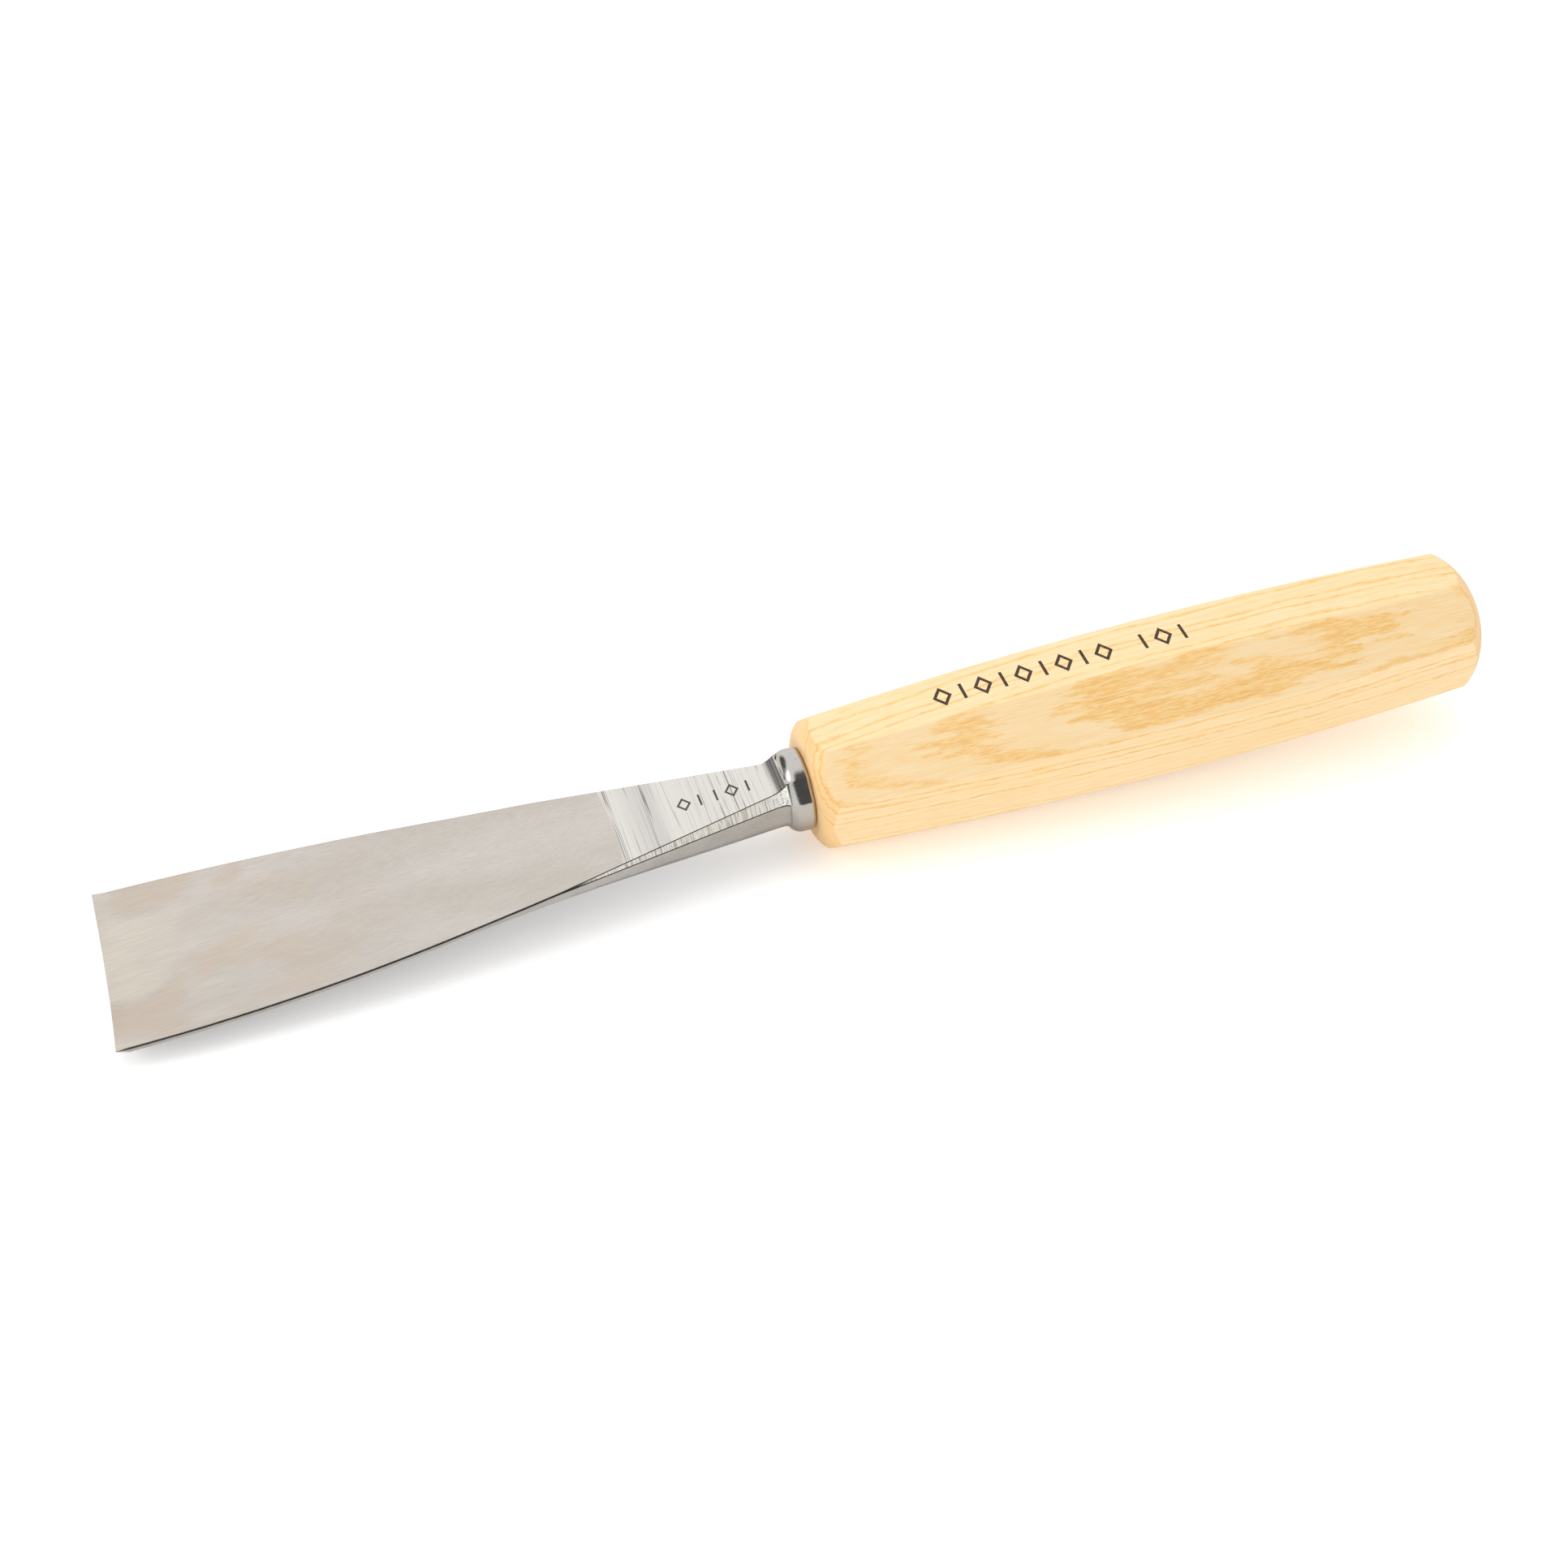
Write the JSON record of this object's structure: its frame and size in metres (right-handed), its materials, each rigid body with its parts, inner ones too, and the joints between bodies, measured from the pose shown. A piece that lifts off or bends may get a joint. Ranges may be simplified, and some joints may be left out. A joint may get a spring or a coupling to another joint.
{
  "type": "straight carving gouge",
  "caption": "Straight carving gouge: flared, shallow hollow-ground steel blade with round forged bolster and driven tang, in an octagonal barrel-shaped ash handle with a domed butt.",
  "frame": {"origin": "on the tool's axis, midway between the cutting edge and the butt", "axes": "+X along the tool's axis towards the butt, +Z out of the blade's hollow face, +Y across the blade"},
  "size_m": [0.27, 0.04, 0.03],
  "materials": {
    "blade_steel": "satin hollow-ground blade, cross-ground neck, milled chamfers, polished bolster",
    "ferrule_steel": "plain turned ring, hidden inside the handle",
    "ash_wood": "pale ring-porous ash under thin satin lacquer"
  },
  "bodies": {
    "root": {"gouge_blade": "blade_steel", "inner_ferrule": "ferrule_steel", "handle": "ash_wood"}
  },
  "joints": []
}
